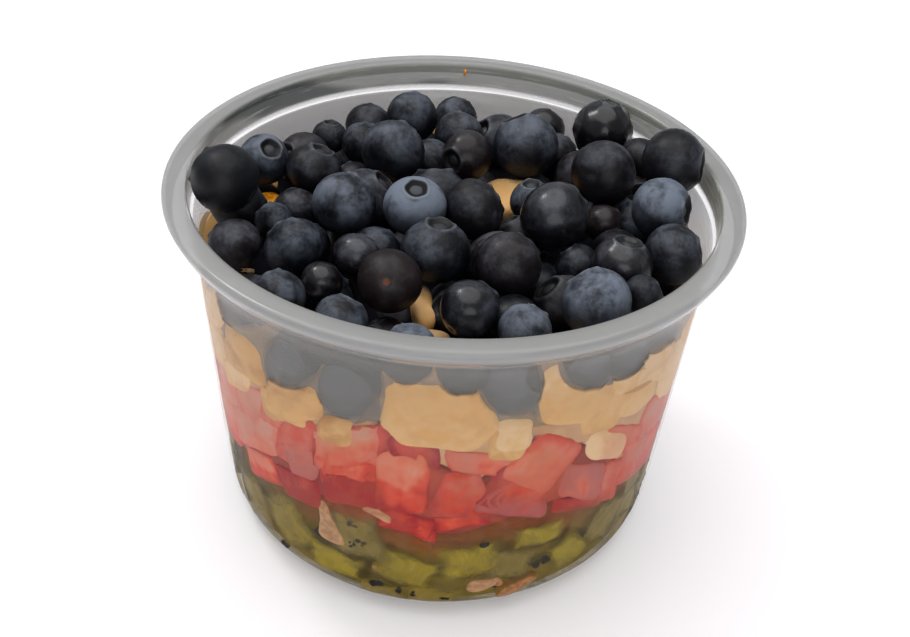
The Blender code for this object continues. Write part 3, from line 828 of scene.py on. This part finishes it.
def banana_flesh():
    """Cream flesh with fine grain, tan in its bruises, painted darker along its edges as shade between the
    pieces, golden in its middle.
    """
    material, start = new_finish("banana_flesh")
    own = carried(start, "own", 1)
    clouds = own.grain(170.0, 3.0, 0.6)
    specks = own.grain(1300.0, 2.0)
    edge = edge_of_face(start)
    # Mostly paler on the upper part of each face as painted light, darker below and along the edges as painted
    # shade.
    shade = tone_and_face_light(start, clouds) + (clouds - 0.5) * 2.0 + (specks - 0.5) * 0.15 - 0.25 * edge
    colour = shade.between(-0.2, 0.8).mix((0.430, 0.200, 0.060), (0.640, 0.370, 0.140))
    colour = shade.between(0.7, 1.3).mix(colour, (0.680, 0.450, 0.240))
    golden = carried(start, "tones", 1).part(2) * (1 - edge) * clouds.between(0.40, 0.65)
    colour = golden.mix(colour, (0.600, 0.305, 0.080))
    show(principled(start, Base_Color=colour, Roughness=0.55, Specular_IOR_Level=0.1,
                    Normal=clouds.relief(0.5, 0.0012)))
    return material


BANANA_MASS_TOP = 0.0560


def banana_mass_flesh():
    material, start = new_finish("banana_mass")
    clouds = place_of(start).grain(120.0, 3.0)
    colour = clouds.between(0.3, 0.7).mix((0.38, 0.17, 0.06), (0.55, 0.30, 0.12))
    show(principled(start, Base_Color=colour, Roughness=0.5, Normal=clouds.relief(0.5, 0.002)))
    return material


banana_mass = layer_body("banana_mass", lambda x, y: np.minimum(banana_top(x, y), BANANA_MASS_TOP),
                         strawberry_top, MASS_INTO_WALL,
                         banana_mass_flesh(), -0.0010)
banana_pieces = chunks("banana_pieces",
                       rest_of_wall(41, (49.5, 56.5), 13, 14, (0.7, 1.3), 74) + BANANA_PIECES,
                       10, 3.0, 1.1, 42, banana_flesh(), reach=0.0005, rough=0.22, steps=(30, 52),
                       balls=WALL_BERRIES)
for piece in (banana_mass, banana_pieces):
    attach(piece, "root")
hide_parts("banana_layer")

# ---------------------------------------------------------------------------------------------
# The blueberries: whole ripe berries heaped on the banana up to the rim. Each is a slightly flat
# ball with a round crater, the calyx, in a crown of five points, and a small stem scar opposite.
# Berries on top, row by row from the back: x, y, height of the middle, diameter in mm.
TOP_BERRIES = (
    (-21, 39, 68, 11), (-11, 37, 72, 12), (-1, 44, 69, 10), (20, 42, 69, 10), (0, 32, 71, 11),
    (-29, 29, 70, 8), (-21, 25, 71, 10), (15, 25, 73, 15), (32, 31, 75, 14), (40, 22, 73, 10),
    (-41, 12, 73, 11), (-30, 9, 73, 12), (-14, 17, 74, 14), (2, 19, 73, 11), (31, 12, 75, 14),
    (45, 10, 79.5, 14), (-44.8, -11, 81, 14), (-44, -3.5, 71, 13), (-36, -8, 70, 8), (-22, -6, 74, 13),
    (-8, -5, 74, 13), (4, -3, 73, 13), (16, 5, 71, 9), (20, -7, 75, 14), (31, 1, 69, 8),
    (42, -1.5, 75, 13), (43.5, -14, 72, 12.4), (25, -15, 69, 9), (33, -20, 73, 12), (36, -30, 73, 8),
    (-42, -19, 71, 11), (-30, -21, 73, 12), (-18, -22, 72, 10), (-3, -21, 74, 14), (11, -24, 74, 13),
    (-24, -28, 70, 8), (-11, -33, 74.5, 12), (27, -35, 74, 13), (4, -38, 73, 11), (14, -42, 72, 10),
    (-31, -35, 71, 10), (-19, -41, 71, 10),
)
FILL_BERRIES = 66
FILL_MEAN = 12.6
FILL_SPREAD = 1.3
FILL_SMALLEST = 9.5
FILL_LARGEST = 14.5
FILL_TRIES = 4000
FILL_OVERLAP = 0.5
FILL_CEILING = 70.0
FILL_SEED = 11
# Gaps that the fill leaves open down to the fruit below: x, y and radius in mm.
CLEARINGS = ((11.5, 14, 11.0), (-39.5, 7, 6.5), (-15.8, 15, 5.0), (-4.5, -28, 5.5))


def in_clearing(tries):
    """True for the places that lie in one of the clearings."""
    spots = np.array(CLEARINGS)
    apart = np.hypot(tries[:, None, 0] - spots[:, 0], tries[:, None, 1] - spots[:, 1])
    return (apart < spots[:, 2]).any(axis=1)



def berry_places():
    """Middles and radii of all the berries, in mm: the wall's and the top's, then the fill.

    Each fill berry takes, of many random places under the heap's ceiling that touch nothing by
    more than a little, the one most closely surrounded.
    """
    places = []
    for azimuth, height, diameter in WALL_BERRIES:
        out = (wall_radius(height * MM) - WALL - WALL_GAP) / MM - diameter / 2
        places.append((out * sin(radians(azimuth)), -out * cos(radians(azimuth)), height, diameter / 2))
    for x, y, height, diameter in TOP_BERRIES:
        places.append((x, y, height, diameter / 2))
    places = np.array(places, float)
    random = np.random.default_rng(FILL_SEED)
    for _ in range(FILL_BERRIES):
        size = np.clip(random.normal(FILL_MEAN, FILL_SPREAD), FILL_SMALLEST, FILL_LARGEST) / 2
        angle = random.uniform(0, 2 * pi, FILL_TRIES)
        out = np.sqrt(random.uniform(0, 1, FILL_TRIES)) * (wall_radius(BANANA_TOP) / MM - 1 - size)
        x = out * np.cos(angle)
        y = out * np.sin(angle)
        floor = banana_top(x * MM, y * MM) / MM + size * 0.9
        z = floor + random.uniform(0, 1, FILL_TRIES) * np.maximum(FILL_CEILING - floor, 0)
        tries = np.stack([x, y, z], 1)
        apart = np.linalg.norm(tries[:, None, :] - places[None, :, :3], axis=2)
        clearance = apart - places[None, :, 3] - size
        free = (clearance.min(axis=1) > -FILL_OVERLAP) & ~in_clearing(tries)
        if not free.any():
            continue
        crowding = np.sort(clearance, axis=1)[:, :4].sum(axis=1) + 0.4 * (z - floor)
        best = np.argmin(np.where(free, crowding, np.inf))
        places = np.vstack([places, [*tries[best], size]])
    return places


# What is known of single top berries: where the calyx points, and bloom, warmth and gloss.
TOP_BERRY_LOOKS = {
    0: ((0.4, 0.6, 0.7), 0.3, 0.1, 0.3), 1: ((0.3, 0.6, 0.75), 0.5, 0.0, 0.4),
    2: ((0.2, 0.5, 0.7), 0.5, 0.0, 0.3), 3: ((0.6, 0.3, 0.8), 0.15, 0.2, 0.9),
    4: ((-0.4, 0.6, 0.7), 0.4, 0.1, 0.3), 5: ((0.1, 0.1, 1.0), 0.3, 0.1, 0.3),
    6: ((0.3, 0.7, 0.6), 0.4, 0.0, 0.3), 7: ((-0.45, 0.35, 0.85), 0.6, 0.0, 0.3),
    8: ((0.2, 0.3, 0.9), 0.05, 0.1, 1.0), 9: ((0.9, 0.2, 0.4), 0.2, 0.2, 0.5),
    10: ((0.4, -0.45, 0.8), 0.8, -0.2, 0.3), 11: ((0.35, 0.15, 0.9), 0.3, 0.1, 0.4),
    12: ((0.3, 0.8, 0.5), 0.5, 0.0, 0.4), 13: ((-0.6, -0.7, 0.1), 0.1, 0.7, 0.7),
    14: ((0.45, 0.85, -0.35), 0.3, 0.2, 0.3), 15: ((1.0, -0.3, 0.1), 0.2, 0.1, 0.5),
    16: ((-0.9, 0.3, 0.35), 0.0, 0.0, 0.2), 17: ((0.8, 0.4, 0.4), 0.2, 0.1, 0.3),
    18: ((-0.7, 0.4, 0.6), 0.5, -0.3, 0.2), 19: ((0.5, 0.55, 0.65), 0.75, -0.1, 0.2),
    20: ((0.05, -0.30, 0.95), 1.3, -0.2, 0.1), 21: ((0.9, 0.3, 0.4), 0.25, 0.2, 0.3),
    22: ((-0.1, 0.05, 1.0), 0.6, -0.1, 0.5), 23: ((0.7, 0.55, 0.45), 0.25, 0.1, 0.9),
    24: ((0.8, 0.5, 0.4), 0.15, 0.8, 0.7), 25: ((0.95, -0.4, 0.2), 0.95, -0.2, 0.1),
    26: ((1.0, -0.1, 0.3), 0.4, 0.1, 0.3), 27: ((-0.6, 0.4, 0.7), 0.3, 0.1, 0.5),
    28: ((0.15, 0.20, 0.97), 0.25, 0.3, 0.9), 29: ((0.9, 0.2, 0.4), 0.2, 0.1, 0.2),
    30: ((-0.8, 0.5, 0.4), 0.5, 0.4, 0.2), 31: ((-0.6, 0.6, 0.5), 0.5, -0.3, 0.4),
    32: ((0.3, 0.75, 0.6), 0.3, 0.3, 0.9), 33: ((0.1, 0.15, 1.0), 0.4, -0.2, 0.3),
    34: ((0.6, 0.6, 0.5), 0.35, 0.5, 0.6), 35: ((0.7, 0.6, 0.3), 0.15, 0.3, 1.0),
    36: ((0.05, 0.80, -0.55), 0.1, 1.0, 0.3), 37: ((-0.5, 0.7, 0.5), 1.0, -0.1, 0.1),
    38: ((0.6, 0.7, 0.4), 0.2, 0.1, 0.9), 39: ((0.5, 0.6, 0.6), 0.8, 0.0, 0.1),
    40: ((-0.5, 0.6, 0.6), 0.5, 0.0, 0.3), 41: ((0.4, 0.6, 0.7), 0.6, 0.0, 0.2),
}
WALL_BERRY_BLOOM = (2.2, 2.2, 2.2, 0.9, 0.9, 2.2, 1.8, 2.2, 2.2)
# Fruit that shows between the berries: x, y, height of the middle, width, height, turn, taper,
# rise, and tones as for the banana's chunks.
LOOSE_BANANA = (
    (13.0, 15, 65.0, 16, 14, 10, 0, 0, 1.0, 0.8, 0.5), (-4.9, -28, 65.3, 4.4, 13, 12, 0, 0, 1.1, 0.9, 0),
    (-2.9, -38, 64, 8, 7, 0, 0, 0, 1.1, 1.0, 0), (-15.8, 15.3, 65, 7, 7, 0, 0, 0, 1.0, 0.9, 0),
    (-50.0, 2.0, 61, 6, 10, 0, 0, 0, 1.1, 1.0, 0),
)
LOOSE_ORANGE = ((-39.8, 7, 66, 6, 3.8, 20, 0.2, 0, 0, 0, 0), (0.4, 53.3, 76.6, 0.7, 1.2, 0, 0, 0, 0, 0, 0))
WRINKLED_BERRY = 8
UNDER_BERRIES = 34
UNDER_SEED = 5
UNDER_OVERLAP = 2.2
BERRY_POLES = np.concatenate([np.linspace(0.07, 0.62, 12), np.linspace(0.76, 2.86, 11),
                              np.linspace(2.93, 3.07, 3)])
BERRY_AROUND = 28


def berries_below(places):
    """Smaller berries in the gaps under the others, so that the heap is full to the banana."""
    random = np.random.default_rng(UNDER_SEED)
    for _ in range(UNDER_BERRIES):
        angle = random.uniform(0, 2 * pi, FILL_TRIES)
        out = np.sqrt(random.uniform(0, 1, FILL_TRIES)) * 45
        z = random.uniform(60, 67, FILL_TRIES)
        tries = np.stack([out * np.cos(angle), out * np.sin(angle), z], 1)
        apart = np.linalg.norm(tries[:, None, :] - places[None, :, :3], axis=2) - places[None, :, 3]
        best = np.argmax(apart.min(axis=1) + 0.15 * z - 99 * in_clearing(tries))
        size = min(apart.min(axis=1)[best] + UNDER_OVERLAP, 5.5)
        if size < 3.5:
            break
        places = np.vstack([places, [*tries[best], size]])
    return places


def blueberries(places, material):
    """All the berries as one mesh.

    In each direction the radius is 1, less the crater round the calyx and the dent of the stem
    scar, plus the crown's points and a few slow lumps; the whole is flattened along the calyx.
    """
    random = np.random.default_rng(7)
    count = len(places)
    axis = random.normal(0, 1, (count, 3)) * [1.0, 0.5, 0.0] + [0, 0.3, 0.5]
    looks = np.stack([random.uniform(0.05, 0.5, count), random.uniform(-0.2, 0.5, count),
                      random.uniform(0.1, 0.6, count)], 1)
    wrinkle = np.zeros(count)
    first_top = len(WALL_BERRIES)
    looks[:first_top, 0] = WALL_BERRY_BLOOM
    for number, (way, *look) in TOP_BERRY_LOOKS.items():
        axis[first_top + number] = way
        looks[first_top + number] = look
    wrinkle[first_top + WRINKLED_BERRY] = 0.09
    axis /= np.linalg.norm(axis, axis=1, keepdims=True)
    side = np.cross(axis, [0.3, 0.2, 1.0])
    side /= np.linalg.norm(side, axis=1, keepdims=True)
    third = np.cross(axis, side)

    def each(low, high):
        return random.uniform(low, high, (count, 1, 1))

    down = BERRY_POLES[None, :, None]
    down = np.concatenate([[[[1e-4]]], down, [[[pi - 1e-4]]]], 1)
    turn = (np.arange(BERRY_AROUND) * 2 * pi / BERRY_AROUND)[None, None, :]
    wobble = each(0, 6)
    points5 = np.cos(5 * turn + wobble + 0.5 * np.sin(2 * turn + 2 * wobble))
    lobe = (0.75 + 0.25 * np.sin(2 * turn + 3 * wobble)) * (0.5 + 0.5 * points5)
    calyx = each(0.38, 0.50)
    share = down / (calyx * (1 + 0.03 * points5))
    crater = 1 - smooth_step(share, 0.60, 0.95)
    crater = crater - 0.25 * (1 - smooth_step(share, 0.25, 0.65))
    crown = np.exp(-((share - 1.04) / 0.15) ** 2) * (0.25 + 0.75 * lobe)
    scar = np.exp(-((pi - down) / 0.16) ** 2) + 0 * turn
    way = np.stack([np.sin(down) * np.cos(turn), np.sin(down) * np.sin(turn), np.cos(down) + 0 * turn], -1)
    pull = random.normal(0, 1.6, (2, count, 1, 1, 3))
    phase = random.uniform(0, 6, (2, count, 1, 1))
    lumps = sum(np.sin((way * pull[i]).sum(-1) + phase[i]) for i in range(2))
    radius = 1 - each(0.12, 0.20) * crater + each(0.04, 0.10) * crown - 0.07 * scar + 0.018 * lumps - 0.005
    folds = np.abs(np.sin(4 * turn + 1.5 * np.sin(3 * down) + 0.5))
    radius = radius - wrinkle[:, None, None] * folds * np.sin(down)
    flat = each(0.86, 1.0)
    u = way[..., 0] * radius
    v = way[..., 1] * radius
    w = way[..., 2] * radius * flat
    ball = (u[..., None] * side[:, None, None] + v[..., None] * third[:, None, None]
            + w[..., None] * axis[:, None, None])
    points = (places[:, None, None, :3] + ball * places[:, None, None, 3:]) * MM
    limit = room_radius(points[..., 2]) - 0.00005
    out = np.hypot(points[..., 0], points[..., 1])
    inside = points[..., 2] < HEIGHT - LEDGE_DEPTH
    press = np.where(inside, np.minimum(limit / np.maximum(out, 1e-6), 1), 1)
    points[..., :2] *= press[..., None]
    points[..., 2] = np.minimum(points[..., 2], packed_box[1][2] - 0.0001)

    marks = {"bumps": np.stack([np.minimum(share, 2), crown, scar + 0 * crater], -1),
             "look": looks[:, None, None] + np.zeros(crater.shape + (3,)),
             "own": (ball + random.uniform(-9, 9, (count, 1, 1, 3)))}
    poled = {mark: np.concatenate([values[:, 0, :1], values[:, 1:-1].reshape(count, -1, 3),
                                   values[:, -1, :1]], 1) for mark, values in marks.items()}
    return skins("blueberries", points[:, 0, 0], points[:, 1:-1], points[:, -1, 0], material, poled)


def blueberry_skin():
    """Blue-black skin under a grey-blue bloom rubbed off in patches, painted paler on top as light from above."""
    material, start = new_finish("blueberry_skin")
    own = carried(start, "own", 1)
    bumps = carried(start, "bumps", 1)
    look = carried(start, "look", 1)
    share, crown, scar = (bumps.part(i) for i in range(3))
    bloom, warmth, gloss = (look.part(i) for i in range(3))
    skin = warmth.between(-0.3, 1.0).mix((0.0016, 0.0022, 0.0045), (0.0080, 0.0040, 0.0044))
    patches = own.grain(1.2, 4.0, 0.6, 0.3)
    fine = own.grain(6.0, 4.0, 0.65)
    # The bloom's pale colour is stronger where the skin faces up: painted light from above.
    facing_up = start.node("ShaderNodeNewGeometry", {}, {}, 1).part(2) + (patches - 0.5) * 1.2
    upward = facing_up.between(-0.15, 1.0)
    bloom_and_top_light = (patches + (fine - 0.5) * 0.30 + (bloom - 0.5) * 0.22).between(0.30, 0.72)
    bloom_and_top_light = bloom_and_top_light * (0.10 + 0.90 * bloom) * (0.16 + 0.84 * upward)
    dust = warmth.between(-0.3, 1.0).mix((0.150, 0.176, 0.226), (0.125, 0.116, 0.134))
    colour = bloom_and_top_light.mix(skin, dust)
    # The crown's pale bloom, also stronger where it faces up: painted light from above.
    crown_bloom_and_top_light = crown * (0.20 + 0.60 * bloom) * (0.4 + 0.6 * upward)
    colour = crown_bloom_and_top_light.mix(colour, (0.170, 0.190, 0.215))
    # Just inside the crown the crater's wall is near-black: painted shade in the hollow.
    colour = share.between(1.00, 0.84).mix(colour, (0.0040, 0.0040, 0.0050))
    floor_dust = share.between(0.66, 0.42) * (0.15 + 0.75 * bloom)
    colour = floor_dust.mix(colour, (0.060, 0.064, 0.072))
    scar_colour = warmth.between(0.2, 1.0).mix((0.012, 0.010, 0.010), (0.110, 0.035, 0.014))
    colour = scar.between(0.35, 0.9).mix(colour, scar_colour)
    rough = 0.50 - 0.20 * gloss + 0.25 * bloom_and_top_light
    show(principled(start, Base_Color=colour, Roughness=rough, Specular_IOR_Level=0.22,
                    Coat_Weight=0.40 * gloss.between(0.5, 1.0) * (1 - bloom_and_top_light), Coat_Roughness=0.16,
                    Normal=(patches + fine * 0.6).relief(0.22, 0.0005)))
    return material


def loose_bits(name, rows, deep, squareness, seed, material):
    """Bits of fruit lying level in the heap: worn boxes laid down, each at its own place."""
    table = np.array(rows, float)
    x, y, z = table[:, :3].T[:, :, None, None]
    u, v, w, marks = worn_boxes(table[:, 3:8], table[:, 8:11], deep, squareness, seed, 0.2, (15, 26))
    points = np.stack([x + u, y + v, z + w], -1) * MM
    return skins(name, points[:, 0, 0], points[:, 1:-1], points[:, -1, 0], material, marks)


# A near-black lumpy body under the berries: painted shade deep in the gaps between them.
def dark_mass():
    material, start = new_finish("berry_shade")
    lumps = place_of(start).cells(90.0)
    colour = lumps.between(0.1, 0.8).mix((0.008, 0.008, 0.012), (0.002, 0.002, 0.004))
    show(principled(start, Base_Color=colour, Roughness=0.8, Specular_IOR_Level=0.05,
                    Normal=lumps.relief(0.8, 0.003)))
    return material


berries = blueberries(berries_below(berry_places()), blueberry_skin())
# Painted shade: a near-black body under the berries, seen in the gaps between them.
berry_shade_core = layer_body("berry_shade_core", lambda x, y: 0.0625 + 0 * x, banana_top, -0.0050, dark_mass())
loose_banana = loose_bits("loose_banana", LOOSE_BANANA, 5, 3.0, 51, banana_flesh())
loose_orange = loose_bits("loose_orange", LOOSE_ORANGE, 1.6, 3.0, 52,
                          plain_fruit("orange_bit", (0.60, 0.16, 0.004), (0.85, 0.36, 0.02), 0.4))
for piece in (berries, berry_shade_core, loose_banana, loose_orange):
    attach(piece, "root")
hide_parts("blueberry_heap")
